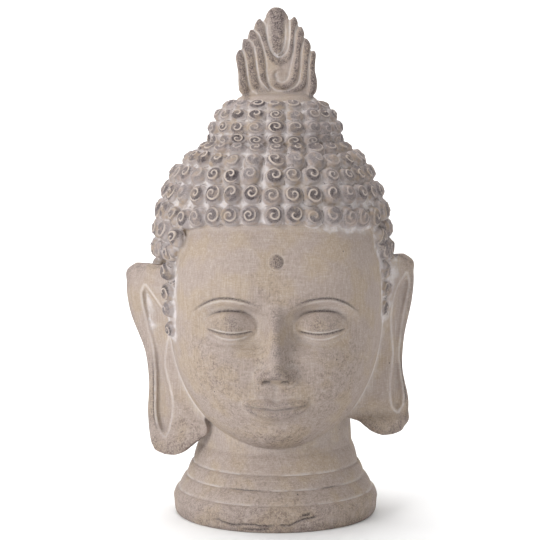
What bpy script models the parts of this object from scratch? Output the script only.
"""Buddha head: a cast garden ornament with snail-curl hair, long ears and a flame on the topknot.

Metres, +Z up. The face looks along -Y and the origin is the centre of the flat underside.
The ornament is one casting, so every form here is joined into a single solid.
"""

import math
from collections import defaultdict
from typing import NamedTuple

import bmesh
import bpy
import numpy as np

# Overall height, and the level that the flame springs from
HEIGHT = 0.600
FLAME_FOOT = 0.4945

# Bare head: an egg whose level sections are superellipses, fuller at the jaw
HEAD_BOTTOM = 0.086
HEAD_TOP = 0.440
HEAD_MIDDLE = (HEAD_BOTTOM + HEAD_TOP) / 2
HEAD_HALF_HEIGHT = (HEAD_TOP - HEAD_BOTTOM) / 2
HEAD_HALF_WIDTH = 0.129
HEAD_FRONT = 0.131
HEAD_BACK = 0.126
EGG_POWER = 2.3
JAW_POWER = 4.4

# Face, in equal thirds from the hairline to the chin
HAIRLINE = 0.350
CHIN = 0.088
THIRD = (HAIRLINE - CHIN) / 3
BROW = HAIRLINE - THIRD
NOSE_BASE = BROW - THIRD
MOUTH = NOSE_BASE - THIRD / 3
EYE_WIDTH = 2 * HEAD_HALF_WIDTH / 5
EYE = BROW - 0.30 * THIRD
MOUTH_HALF_WIDTH = 0.75 * EYE_WIDTH
URNA = BROW + 0.57 * THIRD

# Hair: a cap and a topknot, both round in plan, their sizes without the curls
HAIR_CENTRE_Y = 0.006
HAIR_SHIFT_X = -0.0035
HAIR_SHIFT_FADES = (0.405, 0.432)
HAIR_DEPTH_SHARE = 0.976
CAP_RADIUS = 0.1370
CAP_MIDDLE = 0.305
CAP_RISE = 0.150
CAP_DROP = 0.240
CAP_POWER = 2.5
KNOT_RADIUS = 0.0765
KNOT_MIDDLE = 0.441
KNOT_RISE = 0.0565
KNOT_POWER = 2.5

# Rows of curls as (width of the row, curls in a full ring), up from the hairline and up from the crease
CAP_ROWS = ((0.0235, 36), (0.0230, 34), (0.0220, 31), (0.0220, 27), (0.0180, 23))
KNOT_ROWS = ((0.0130, 22), (0.0160, 21), (0.0152, 19), (0.0165, 16))

# Rows below the hairline, downwards: their width, and the azimuths that each leaves bare, for the face, for
# the roots of the ears too, under the left sideburn, or for the jaw and the ears together
SIDE_PITCH = 0.0230
SIDE_CURLS = 36
FACE_BARE = ((-55, 55),)
EAR_BARE = ((-85, -65), (-55, 55), (65, 85))
LEFT_BARE = ((-85, -65), (-55, 85))
JAW_BARE = ((-85, 85),)
SIDE_ROWS = (FACE_BARE, FACE_BARE, EAR_BARE, EAR_BARE, EAR_BARE, LEFT_BARE, JAW_BARE, JAW_BARE)

# At the temples the hairline dips, and by length above it the curls lean in towards the face, in degrees
TEMPLE_DIP = 0.009
TEMPLE_DIP_AZIMUTH = 52
TEMPLE_DIP_RISE = 0.022
TEMPLE_LEAN_RIGHT = ((-0.058, -2.6), (-0.035, 0.5), (-0.012, 5.0), (0.012, 2.5), (0.035, 0.0))
TEMPLE_LEAN_LEFT = ((-0.058, -11.5), (-0.035, -9.0), (-0.012, -7.0), (0.012, 0.0))
TEMPLE_LEAN_AZIMUTH = 60
TEMPLE_REACH = 14
CURL_HEIGHT = 0.0088
CURL_SIDES = 6
SMALL_CURL_SIDES = 5
SMALL_ROW = 0.0232
CURL_TOP_SHARE = 0.60

# Corners of two rows become one where they are closer than this share of a curl
SAME_CORNER_SHARE = 0.28

# Azimuths closer than this, in degrees, are the same
ROUNDING = 0.01

# Neck as (low, high, radius at low, radius at high) of each fold
NECK_FOLDS = (
    (0.0180, 0.0300, 0.1222, 0.1180),
    (0.0312, 0.0450, 0.1150, 0.1080),
    (0.0462, 0.0605, 0.1055, 0.1000),
    (0.0617, 0.0830, 0.0980, 0.0920),
)
FOOT_RADIUS = 0.1185
NECK_TOP = 0.150
NECK_TOP_RADIUS = 0.088
NECK_SET_BACK = 0.010
FOLD_BULGE = 0.0012
NECK_SIDES = 24

# Flame: half its thickness at the foot and at the tip, and how far it stands to one side
FLAME_HALF_DEPTH = 0.0185
FLAME_TIP_DEPTH = 0.0085
FLAME_SHIFT_X = 0.0015
FLAME_STATIONS = 5
FLAME_TIP_SHARE = 0.55
FLAME_GROOVE = 0.68
FLAME_FOOT_LEVEL = 0.002
BOSS_RADIUS = 0.0148
BOSS_MIDDLE = 0.0185
BOSS_PROUD = 1.05
BOSS_SIDES = 8

# Plain collar on the topknot, which the flame springs from
COLLAR_HALF_WIDTH = 0.0460
COLLAR_HALF_DEPTH = 0.0390
COLLAR_BOTTOM = 0.4800
COLLAR_RISE = 0.0235
COLLAR_POWER = 4.0
COLLAR_SIDES = 16


class Row(NamedTuple):
    """A ring of curls: its two borders along the scalp, its curls in a full turn, and what it leaves bare."""

    low: float
    high: float
    count: int
    bare: tuple


class Ear(NamedTuple):
    """One ear: its side (-1 is the ornament's right), its levels, its reach, and the lobe's widest level."""

    name: str
    side: int
    bottom: float
    top: float
    lobe: float
    waist: float
    wing: float
    lobe_share: float


class Rib(NamedTuple):
    """A line up one half of the flame, as (out, up) from its foot's middle, and how proud it stands."""

    line: tuple
    proud: float


EARS = (
    Ear("ear_right", -1, bottom=0.0735, top=0.2990, lobe=0.1520, waist=0.1507, wing=0.1778, lobe_share=0.20),
    Ear("ear_left", 1, bottom=0.0975, top=0.3112, lobe=0.1592, waist=0.1508, wing=0.1634, lobe_share=0.12),
)

# Up an ear, from the end of its lobe to the top of its wing: where its rings are, then its other sizes there
EAR_SHARES = (0.0, 0.010, 0.035, 0.09, 0.20, 0.36, 0.52, 0.66, 0.79, 0.90, 0.97, 1.0)
EAR_SWEEP_DEGREES = ((0, 24), (0.3, 26), (0.6, 38), (1.0, 42))
EAR_THICKNESS = ((0, 0.008), (0.05, 0.017), (0.5, 0.016), (0.95, 0.015), (1.0, 0.009))
EAR_HOLLOW = 0.0065
EAR_ROOT_Y = -0.034
EAR_LEAN = 0.008

# Section of an ear, out along its front and back: share of its width, share of its thickness, sunk or not
EAR_SECTION = (
    (0, 0.5, 0),
    (0.40, 0.5, 0),
    (0.50, 0.5, 1),
    (0.68, 0.5, 1),
    (0.77, 0.55, 0),
    (0.92, 0.5, 0),
    (1, 0, 0),
    (0.93, -0.42, 0),
    (0.60, -0.50, 0),
    (0, -0.50, 0),
)

# From the middle outwards: the crest of the broad tongue, then a groove, a crest and a shoulder for each
# tongue beside it. A rib that begins below the foot level stands on the topknot.
FLAME_RIBS = (
    Rib(line=((0.0, 0.0460), (0.0, 0.0760), (0.0, 0.1055)), proud=1.0),
    Rib(line=((0.0, 0.0440), (0.0085, 0.0600), (0.0105, 0.0780), (0.0075, 0.1017)), proud=0.95),
    Rib(line=((0.0, 0.0420), (0.0110, 0.0570), (0.0145, 0.0740), (0.0157, 0.0918)), proud=FLAME_GROOVE),
    Rib(line=((0.0, 0.0375), (0.0113, 0.0515), (0.0168, 0.0700), (0.0215, 0.0932)), proud=0.95),
    Rib(line=((0.0, 0.0335), (0.0135, 0.0475), (0.0195, 0.0680), (0.0262, 0.0888)), proud=0.90),
    Rib(line=((0.0, 0.0300), (0.0155, 0.0440), (0.0212, 0.0640), (0.0272, 0.0815)), proud=FLAME_GROOVE),
    Rib(line=((0.0, 0.0010), (0.0195, 0.0230), (0.0238, 0.0520), (0.0310, 0.0808)), proud=0.90),
    Rib(line=((0.0040, -0.0070), (0.0228, 0.0225), (0.0265, 0.0500), (0.0345, 0.0768)), proud=0.86),
    Rib(line=((0.0080, -0.0070), (0.0262, 0.0220), (0.0290, 0.0480), (0.0353, 0.0690)), proud=FLAME_GROOVE),
    Rib(line=((0.0185, -0.0070), (0.0302, 0.0210), (0.0328, 0.0450), (0.0378, 0.0688)), proud=0.84),
    Rib(line=((0.0230, -0.0070), (0.0332, 0.0205), (0.0350, 0.0430), (0.0408, 0.0640)), proud=0.80),
    Rib(line=((0.0275, -0.0070), (0.0362, 0.0200), (0.0378, 0.0400), (0.0418, 0.0560)), proud=FLAME_GROOVE),
    Rib(line=((0.0360, -0.0070), (0.0415, 0.0180), (0.0418, 0.0350), (0.0452, 0.0545)), proud=0.74),
    Rib(line=((0.0385, -0.0070), (0.0440, 0.0170), (0.0435, 0.0340), (0.0482, 0.0510)), proud=0.70),
    Rib(line=((0.0405, -0.0070), (0.0462, 0.0160), (0.0448, 0.0330), (0.0478, 0.0460)), proud=0.0),
)


def smooth_step(low, high, value):
    """0 below low, 1 above high, and a smooth rise between them."""
    t = np.clip((value - low) / (high - low), 0, 1)
    return t * t * (3 - 2 * t)


def dome(x, z, centre_x, centre_z, half_x, half_z):
    """A round bump, 1 at its centre and 0 from its edge on."""
    q = ((x - centre_x) / half_x) ** 2 + ((z - centre_z) / half_z) ** 2
    return np.sqrt(np.clip(1 - q, 0, 1))


def swell(x, z, centre_x, centre_z, half_x, half_z):
    """A soft bump that fades away around its centre."""
    return np.exp(-(((x - centre_x) / half_x) ** 2) - ((z - centre_z) / half_z) ** 2)


def superellipse(share, power):
    """The other half-axis share of a superellipse, for a share from 0 to 1 of this one."""
    return np.clip(1 - np.abs(share) ** power, 0, 1) ** (1 / power)


def mesh_object(name, points, faces):
    """A new object from points and faces, its normals made to point out."""
    mesh = bpy.data.meshes.new(name)
    mesh.from_pydata([tuple(map(float, p)) for p in points], [], [tuple(map(int, f)) for f in faces])
    work = bmesh.new()
    work.from_mesh(mesh)
    bmesh.ops.recalc_face_normals(work, faces=work.faces)
    work.to_mesh(mesh)
    work.free()
    obj = bpy.data.objects.new(name, mesh)
    bpy.context.scene.collection.objects.link(obj)
    return obj


def loft(name, rings):
    """A closed solid through rings of equal length that all run the same way, with a fan over each end."""
    count = len(rings[0])
    points = [point for ring in rings for point in ring]
    faces = []
    for level in range(len(rings) - 1):
        for i in range(count):
            a, b = level * count + i, level * count + (i + 1) % count
            c, d = b + count, a + count
            faces += [(a, b, c), (a, c, d)] if i < count / 2 else [(a, b, d), (b, c, d)]
    for ring, start in ((rings[0], 0), (rings[-1], len(points) - count)):
        middle = len(points)
        points.append(np.mean(ring, axis=0))
        faces += [(start + i, start + (i + 1) % count, middle) for i in range(count)]
    return mesh_object(name, points, faces)


def brow_line(x):
    """Height of the arched brow at a distance x from the middle of the face."""
    peak = 1.1 * EYE_WIDTH
    inner = 0.020 * ((x - peak) / peak) ** 2
    outer = 0.026 * ((x - peak) / (0.9 * EYE_WIDTH)) ** 2
    return BROW + 0.008 - np.where(x < peak, inner, outer)


def mouth_line(x):
    """Height where the lips meet at a distance x from the middle of the face."""
    return MOUTH + 0.005 * (x / MOUTH_HALF_WIDTH) ** 2


def eye_relief(x, z):
    """Sockets under the brows, with the round of the closed lids in them."""
    hollow = 0.0135 * np.exp(-(((x - 0.027) / 0.018) ** 2)) + 0.0070 * np.exp(-(((x - 0.062) / 0.030) ** 2))
    under_brow = smooth_step(0, 0.014, brow_line(x) - z)
    above_cheek = smooth_step(EYE - 0.036, EYE - 0.008, z)
    inside_temple = 1 - smooth_step(1.75 * EYE_WIDTH, 2.2 * EYE_WIDTH, x)
    lids = 0.0105 * dome(x, z, EYE_WIDTH, EYE + 0.0015, 0.58 * EYE_WIDTH, 0.0175)
    return lids - hollow * under_brow * above_cheek * inside_temple


def nose_relief(x, z):
    """The nose, from between the brows down to its tip and wings."""
    bridge = 1 - smooth_step(BROW - 0.020, BROW + 0.014, z)
    length = np.clip((BROW - z) / (BROW - NOSE_BASE - 0.012), 0, 1)
    underside = smooth_step(NOSE_BASE - 0.0040, NOSE_BASE + 0.0130, z)
    ridge_half_width = 0.0084 + 0.0056 * length**1.5
    ridge = (0.0055 * bridge + 0.0175 * length**1.2) * np.exp(-((x / ridge_half_width) ** 2.7))
    tip = 0.0045 * dome(x, z, 0, NOSE_BASE + 0.0130, 0.0145, 0.0125)
    wings = 0.0125 * dome(x, z, 0.0165, NOSE_BASE + 0.0092, 0.0105, 0.0098)
    return (ridge + tip) * underside + wings


def mouth_relief(x, z):
    """The lips and the hollow under them."""
    across = superellipse(np.clip(x / MOUTH_HALF_WIDTH, 0, 1), 2.0)
    above = z - mouth_line(x)
    upper_lip = 0.0062 * across * np.exp(-(((above - 0.0065) / 0.0055) ** 2))
    lower_lip = 0.0080 * across * np.exp(-(((above + 0.0080) / 0.0065) ** 2))
    between = 0.0030 * across * np.exp(-((above / 0.0025) ** 2))
    under_lip = 0.0036 * swell(x, z, 0, MOUTH - 0.0225, 0.026, 0.0065)
    return upper_lip + lower_lip - between - under_lip


def face_relief(x, z):
    """How far the face stands forward of the egg at a point of it."""
    x = np.abs(x)
    muzzle = 0.0072 * swell(x, z, 0, MOUTH + 0.002, 0.044, 0.027)
    chin = 0.0076 * swell(x, z, 0, CHIN + 0.019, 0.027, 0.018)
    cheeks = 0.0050 * swell(x, z, 1.25 * EYE_WIDTH, NOSE_BASE + 0.008, 0.039, 0.038)
    dot = 0.0026 * dome(x, z, 0, URNA, 0.0085, 0.0085)
    return eye_relief(x, z) + nose_relief(x, z) + mouth_relief(x, z) + muzzle + chin + cheeks + dot


def head_rings(azimuths, levels):
    """Level rings of the bare head with its face."""
    rings = []
    for z in levels:
        share = (z - HEAD_MIDDLE) / HEAD_HALF_HEIGHT
        half_width = HEAD_HALF_WIDTH * superellipse(share, EGG_POWER)
        front = HEAD_FRONT * superellipse(share, JAW_POWER if share < 0 else EGG_POWER)
        back = HEAD_BACK * superellipse(share, EGG_POWER)
        depth = np.where(np.cos(azimuths) > 0, front, back)
        across = np.abs(np.sin(azimuths)) / half_width
        along = np.abs(np.cos(azimuths)) / depth
        radius = (across**EGG_POWER + along**EGG_POWER) ** (-1 / EGG_POWER)
        x, y = radius * np.sin(azimuths), -radius * np.cos(azimuths)
        facing = smooth_step(0.15, 0.5, np.cos(azimuths))
        y = y - facing * face_relief(x, z)
        rings.append(np.column_stack([x, y, np.full_like(x, z)]))
    return rings


def make_head():
    """The bare head, with more rings and columns where the features of the face are."""
    half_turn = np.radians([3, 6, 9.5, 13.5, 18, 22.5, 27.5, 33, 39, 47, 57, 72, 98, 135])
    azimuths = np.concatenate([[0], half_turn, [math.pi], 2 * math.pi - half_turn[::-1]])
    chin = HEAD_BOTTOM + np.array([0.0012, 0.006, 0.015, 0.029])
    lips = MOUTH + np.array([-0.0185, -0.0110, -0.0040, 0.0, 0.0050, 0.0120, 0.0195])
    nose = NOSE_BASE + np.array([-0.002, 0.003, 0.009, 0.016, 0.026, 0.037])
    eyes = EYE + np.array([-0.0125, -0.0060, 0.0010, 0.0080, 0.0145])
    brows = BROW + np.array([-0.006, 0.001, 0.008, 0.018, 0.041, 0.0475, 0.0545, 0.072])
    crown = np.array([0.375, HEAD_TOP - 0.001])
    levels = np.concatenate([chin, lips, nose, eyes, brows, crown])
    return loft("head", head_rings(azimuths, levels))


def make_neck():
    """The neck: soft folds over a flared foot, its underside flat and its lower edge eased."""
    profile = [(FOOT_RADIUS, 0.0), (FOOT_RADIUS + 0.0015, 0.0035), (FOOT_RADIUS + 0.0030, 0.0090)]
    for low, high, low_radius, high_radius in NECK_FOLDS:
        middle_radius = (low_radius + high_radius) / 2 + FOLD_BULGE
        profile += [(low_radius, low), (middle_radius, (low + high) / 2), (high_radius, high)]
    profile.append((NECK_TOP_RADIUS, NECK_TOP))
    azimuths = np.arange(NECK_SIDES) * 2 * math.pi / NECK_SIDES
    rings = []
    for radius, z in profile:
        set_back = NECK_SET_BACK * smooth_step(0.020, 0.090, z)
        x, y = radius * np.sin(azimuths), set_back - radius * np.cos(azimuths)
        rings.append(np.column_stack([x, y, np.full_like(x, z)]))
    return loft("neck", rings)


def scalp_profile():
    """The scalp from the nape up: radii, heights and lengths along it from the crease under the topknot."""
    fall = np.linspace(HEAD_BOTTOM, CAP_MIDDLE, 80) - CAP_MIDDLE
    lower = np.column_stack([CAP_RADIUS * superellipse(fall / CAP_DROP, CAP_POWER), CAP_MIDDLE + fall])
    crease = superellipse(KNOT_RADIUS / CAP_RADIUS, CAP_POWER)
    rise = np.sin(np.linspace(0, math.asin(crease), 80))
    upper = np.column_stack([CAP_RADIUS * superellipse(rise, CAP_POWER), CAP_MIDDLE + CAP_RISE * rise])
    crown = np.sin(np.linspace(0, math.pi / 2, 80))
    knot = np.column_stack([KNOT_RADIUS * superellipse(crown, KNOT_POWER), KNOT_MIDDLE + KNOT_RISE * crown])
    line = np.concatenate([lower, upper[1:], knot])
    along = np.concatenate([[0], np.cumsum(np.hypot(*np.diff(line, axis=0).T))])
    return line[:, 0], line[:, 1], along - along[len(lower) + len(upper) - 2]


SCALP_RADII, SCALP_HEIGHTS, SCALP_ALONG = scalp_profile()
HAIRLINE_ALONG = -sum(width for width, _ in CAP_ROWS)


def scalp(azimuth, along):
    """A point of the scalp, from its azimuth in degrees (0 is the face) and its length along it."""
    side = (azimuth + 180) % 360 - 180
    above = along - HAIRLINE_ALONG
    at_lean = math.exp(-(((abs(side) - TEMPLE_LEAN_AZIMUTH) / TEMPLE_REACH) ** 2))
    at_dip = math.exp(-(((abs(side) - TEMPLE_DIP_AZIMUTH) / TEMPLE_REACH) ** 2))
    at_dip *= math.exp(-((above / TEMPLE_DIP_RISE) ** 2))
    leans = TEMPLE_LEAN_LEFT if side > 0 else TEMPLE_LEAN_RIGHT
    lean = np.interp(above, *zip(*leans)) * at_lean
    azimuth = side - lean * np.sign(side)
    along = along - TEMPLE_DIP * at_dip
    radius = np.interp(along, SCALP_ALONG, SCALP_RADII)
    height = np.interp(along, SCALP_ALONG, SCALP_HEIGHTS)
    shift = HAIR_SHIFT_X * (1 - smooth_step(*HAIR_SHIFT_FADES, height))
    x = shift + radius * math.sin(math.radians(azimuth))
    y = HAIR_CENTRE_Y - HAIR_DEPTH_SHARE * radius * math.cos(math.radians(azimuth))
    return np.array([x, y, height])


def hair_rows():
    """The rows of curls from the nape up."""
    rows = []
    for number, bare in enumerate(SIDE_ROWS):
        high = HAIRLINE_ALONG - number * SIDE_PITCH
        rows.insert(0, Row(high - SIDE_PITCH, high, SIDE_CURLS, bare))
    low = HAIRLINE_ALONG
    for width, count in CAP_ROWS + KNOT_ROWS:
        rows.append(Row(low, low + width, count, ()))
        low += width
    return rows


def row_cells(row):
    """The curls of a row as the azimuths of their two borders, the first curl at the middle of the face."""
    step = 360 / row.count
    cells = []
    for number in range(row.count):
        side = (number * step + 180) % 360 - 180
        if not any(low < side < high for low, high in row.bare):
            cells.append(((number - 0.5) * step, (number + 0.5) * step))
    return cells


def shared_corners(lower, upper):
    """For each corner of two rows that meet, the azimuth it is kept at: near ones become one."""
    rows = [row for row in (lower, upper) if row]
    marks = sorted({round(azimuth % 360, 4) for row in rows for cell in row_cells(row) for azimuth in cell})
    near = SAME_CORNER_SHARE * 360 / max(row.count for row in rows)
    kept, last = {}, None
    for mark in marks:
        if last is None or mark - last >= near:
            last = mark
        kept[mark] = last
    return kept


def zip_faces(outer, inner):
    """Triangles between two loops that run the same way round, each a list of (angle, vertex)."""
    outer, inner = sorted(outer), sorted(inner)
    outer.append((outer[0][0] + 2 * math.pi, outer[0][1]))
    inner.append((inner[0][0] + 2 * math.pi, inner[0][1]))
    faces = []
    i = j = 0
    while i < len(outer) - 1 or j < len(inner) - 1:
        inner_next = i == len(outer) - 1 or (j < len(inner) - 1 and inner[j + 1][0] < outer[i + 1][0])
        if inner_next:
            faces.append((outer[i][1], inner[j + 1][1], inner[j][1]))
            j += 1
        else:
            faces.append((outer[i][1], outer[i + 1][1], inner[j][1]))
            i += 1
    return faces


class HairMesh:
    """The points and faces of the hair, with one corner wherever curls meet."""

    def __init__(self):
        self.points, self.faces, self.corners = [], [], {}

    def corner(self, azimuth, along):
        """The vertex of a corner between curls, made the first time that it is asked for."""
        key = (round(azimuth % 360, 3), round(along, 6))
        if key not in self.corners:
            self.corners[key] = len(self.points)
            self.points.append(scalp(azimuth, along))
        return self.corners[key]

    def add_curl(self, row, left, right, borders):
        """One curl: a flat-topped knob between two azimuths, joined to the corners of its cell."""
        azimuth, along = (left + right) / 2, (row.low + row.high) / 2
        centre = scalp(azimuth, along)
        across = scalp(azimuth + 0.5, along) - scalp(azimuth - 0.5, along)
        up = scalp(azimuth, along + 0.001) - scalp(azimuth, along - 0.001)
        across, up = across / np.linalg.norm(across), up / np.linalg.norm(up)
        half_width = np.linalg.norm(scalp(right, along) - centre)
        half_height = (row.high - row.low) / 2
        rim = []
        for level, kept in zip((row.low, row.high), borders):
            for mark in kept:
                if (mark - left + ROUNDING) % 360 <= right - left + 2 * ROUNDING:
                    vertex = self.corner(kept[mark], level)
                    offset = self.points[vertex] - centre
                    angle = math.atan2(offset @ up / half_height, offset @ across / half_width)
                    rim.append((angle % (2 * math.pi), vertex))
        top = []
        sides = SMALL_CURL_SIDES if row.high - row.low < SMALL_ROW else CURL_SIDES
        for side in range(sides):
            angle = (side + 0.5) * 2 * math.pi / sides
            offset = half_width * math.cos(angle) * across + half_height * math.sin(angle) * up
            top.append((angle, len(self.points)))
            self.points.append(centre + CURL_TOP_SHARE * offset + CURL_HEIGHT * np.cross(across, up))
        self.faces += zip_faces(list(set(rim)), top)
        self.faces += [(top[0][1], top[i][1], top[i + 1][1]) for i in range(1, sides - 1)]

    def close(self, top_along):
        """Fans from every open edge: from the topmost rim to the crown, from the rest to inside the head."""
        uses = defaultdict(list)
        for face in self.faces:
            for a, b in zip(face, face[1:] + face[:1]):
                uses[frozenset((a, b))].append((a, b))
        inside, crown = len(self.points), len(self.points) + 1
        self.points.append(np.array([0, HAIR_CENTRE_Y, HEAD_MIDDLE]))
        self.points.append(np.array([0, HAIR_CENTRE_Y, KNOT_MIDDLE + KNOT_RISE]))
        rim = {vertex for (_, along), vertex in self.corners.items() if along == round(top_along, 6)}
        for (a, b), *others in uses.values():
            if not others:
                self.faces.append((b, a, crown if {a, b} <= rim else inside))


def make_hair():
    """The hair as one solid that every ray from inside the head meets once."""
    rows = hair_rows()
    hair = HairMesh()
    borders = [shared_corners(low, high) for low, high in zip([None] + rows, rows + [None])]
    for number, row in enumerate(rows):
        for left, right in row_cells(row):
            hair.add_curl(row, left, right, borders[number : number + 2])
    hair.close(rows[-1].high)
    return mesh_object("hair", hair.points, hair.faces)


def curve_through(levels, values, at):
    """A smooth curve through a few points, read at some levels (Catmull-Rom)."""
    levels, values = np.asarray(levels, float), np.asarray(values, float)
    slopes = np.gradient(values, levels)
    i = np.clip(np.searchsorted(levels, at) - 1, 0, len(levels) - 2)
    width = levels[i + 1] - levels[i]
    t = (at - levels[i]) / width
    start, end = values[i], values[i + 1]
    return (
        (2 * t**3 - 3 * t**2 + 1) * start
        + (t**3 - 2 * t**2 + t) * width * slopes[i]
        + (3 * t**2 - 2 * t**3) * end
        + (t**3 - t**2) * width * slopes[i + 1]
    )


def ear_inner(ear):
    """How far the ear's root is from the middle, as (share of its height, distance) up the ear."""
    return (
        (0, ear.lobe - 0.027),
        (0.010, ear.lobe - 0.034),
        (0.035, ear.lobe - 0.045),
        (0.09, ear.lobe - 0.060),
        (0.20, 0.080),
        (0.50, 0.098),
        (1.0, 0.110),
    )


def ear_outer(ear):
    """How far the ear's outer edge is from the middle, as (share of its height, distance) up the ear."""
    flare = ear.wing - ear.waist
    return (
        (0, ear.lobe - 0.022),
        (0.010, ear.lobe - 0.013),
        (0.035, ear.lobe - 0.007),
        (0.45 * ear.lobe_share, ear.lobe - 0.002),
        (ear.lobe_share, ear.lobe),
        (0.38, ear.waist),
        (0.52, ear.waist + 0.15 * flare),
        (0.75, ear.wing - 0.15 * flare),
        (0.89, ear.wing),
        (0.97, ear.wing - 0.002),
        (1.0, ear.wing - 0.011),
    )


def make_ear(ear):
    """A long ear: a wing above and a hanging lobe below, with a raised rim round a long hollow."""
    shares = np.array(EAR_SHARES)
    outer, inner, sweep, thickness = (
        curve_through(*zip(*table), shares)
        for table in (ear_outer(ear), ear_inner(ear), EAR_SWEEP_DEGREES, EAR_THICKNESS)
    )
    hollow = EAR_HOLLOW * smooth_step(0.06, 0.16, shares) * smooth_step(0.98, 0.88, shares)
    rings = []
    for level, share in enumerate(shares):
        turn = math.radians(sweep[level])
        out = np.array([ear.side * math.cos(turn), math.sin(turn), 0])
        forward = np.array([ear.side * math.sin(turn), -math.cos(turn), 0])
        z = ear.bottom + share * (ear.top - ear.bottom)
        root = np.array([ear.side * inner[level], EAR_ROOT_Y - EAR_LEAN * share, z])
        width = (outer[level] - inner[level]) / math.cos(turn)
        ring = []
        for reach, proud, sunk in EAR_SECTION:
            depth = proud * thickness[level] - sunk * hollow[level]
            ring.append(root + reach * width * out + depth * forward)
        rings.append(np.array(ring))
    return loft(ear.name, rings)


def make_collar():
    """The smooth collar on top of the topknot, that the flame springs from."""
    rings = []
    for level in (0, 0.5, 0.8, 0.97):
        share = superellipse(level, COLLAR_POWER)
        turns = np.arange(COLLAR_SIDES) * 2 * math.pi / COLLAR_SIDES
        x = FLAME_SHIFT_X + share * COLLAR_HALF_WIDTH * np.sin(turns)
        y = HAIR_CENTRE_Y - share * COLLAR_HALF_DEPTH * np.cos(turns)
        rings.append(np.column_stack([x, y, np.full_like(x, COLLAR_BOTTOM + level * COLLAR_RISE)]))
    return loft("collar", rings)


def flame_depth(up):
    """Half the flame's thickness at a height above its foot."""
    return np.interp(up, (0, HEIGHT - FLAME_FOOT), (FLAME_HALF_DEPTH, FLAME_TIP_DEPTH))


def rib_points(rib, side, face):
    """The points up a rib, on one side and one face of the flame, as (out, up, depth)."""
    shares = np.linspace(0, 1, FLAME_STATIONS)
    outs, ups = np.transpose(rib.line)
    stations = np.linspace(0, 1, len(rib.line))
    outs, ups = curve_through(stations, outs, shares), curve_through(stations, ups, shares)
    depths = face * rib.proud * flame_depth(ups)
    depths[-1] *= FLAME_TIP_SHARE if rib.proud > FLAME_GROOVE else 0
    return zip(side * outs, ups, depths)


def make_flame():
    """The flame: a leaf ribbed alike on both faces, with a crest to each tip and a groove to each notch."""
    points, faces, index = [], [], {}

    def vertex(out, up, depth):
        key = (round(out, 7), round(up, 7), round(depth, 7))
        if key not in index:
            index[key] = len(points)
            points.append((FLAME_SHIFT_X + out, HAIR_CENTRE_Y + depth, FLAME_FOOT + up))
        return index[key]

    for side in (-1, 1):
        tips, feet = [], []
        for face in (-1, 1):
            lines = [[vertex(*point) for point in rib_points(rib, side, face)] for rib in FLAME_RIBS]
            for inner, outer in zip(lines, lines[1:]):
                for i in range(FLAME_STATIONS - 1):
                    faces += [(inner[i], outer[i], outer[i + 1]), (inner[i], outer[i + 1], inner[i + 1])]
            tips.append([line[-1] for line in lines])
            feet.append([line[0] for line in lines if points[line[0]][2] < FLAME_FOOT + FLAME_FOOT_LEVEL])
        for front, back in (tips, feet):
            for i in range(len(front) - 1):
                faces += [(front[i], front[i + 1], back[i + 1]), (front[i], back[i + 1], back[i])]
    return mesh_object("flame", points, [face for face in faces if len(set(face)) == 3])


def make_flame_boss():
    """The round boss low in the middle of the flame, which shows on both faces."""
    turns = np.arange(BOSS_SIDES) * 2 * math.pi / BOSS_SIDES
    rings = []
    for tilt in np.radians((-78, -45, 0, 45, 78)):
        radius, depth = BOSS_RADIUS * math.cos(tilt), BOSS_PROUD * FLAME_HALF_DEPTH * math.sin(tilt)
        x = FLAME_SHIFT_X + radius * np.cos(turns)
        z = FLAME_FOOT + BOSS_MIDDLE + radius * np.sin(turns)
        rings.append(np.column_stack([x, np.full_like(x, HAIR_CENTRE_Y + depth), z]))
    return loft("flame_boss", rings)


def stone_material():
    """Warm grey cast stone with a whitewashed finish."""
    material = bpy.data.materials.new("cast_stone")
    material.use_nodes = True
    shader = material.node_tree.nodes["Principled BSDF"]
    shader.inputs["Base Color"].default_value = (0.42, 0.36, 0.31, 1)
    shader.inputs["Roughness"].default_value = 0.85
    shader.inputs["Metallic"].default_value = 0.0
    return material


def main():
    for obj in list(bpy.data.objects):
        bpy.data.objects.remove(obj)
    casting = make_head()
    casting.name = "buddha_head"
    casting.data.materials.append(stone_material())
    forms = [make_neck(), make_hair(), *map(make_ear, EARS), make_collar(), make_flame(), make_flame_boss()]
    for form in forms:
        form.hide_render = True
        form.display_type = "WIRE"
        union = casting.modifiers.new("join_" + form.name, "BOOLEAN")
        union.operation = "UNION"
        union.solver = "EXACT"
        union.object = form


main()
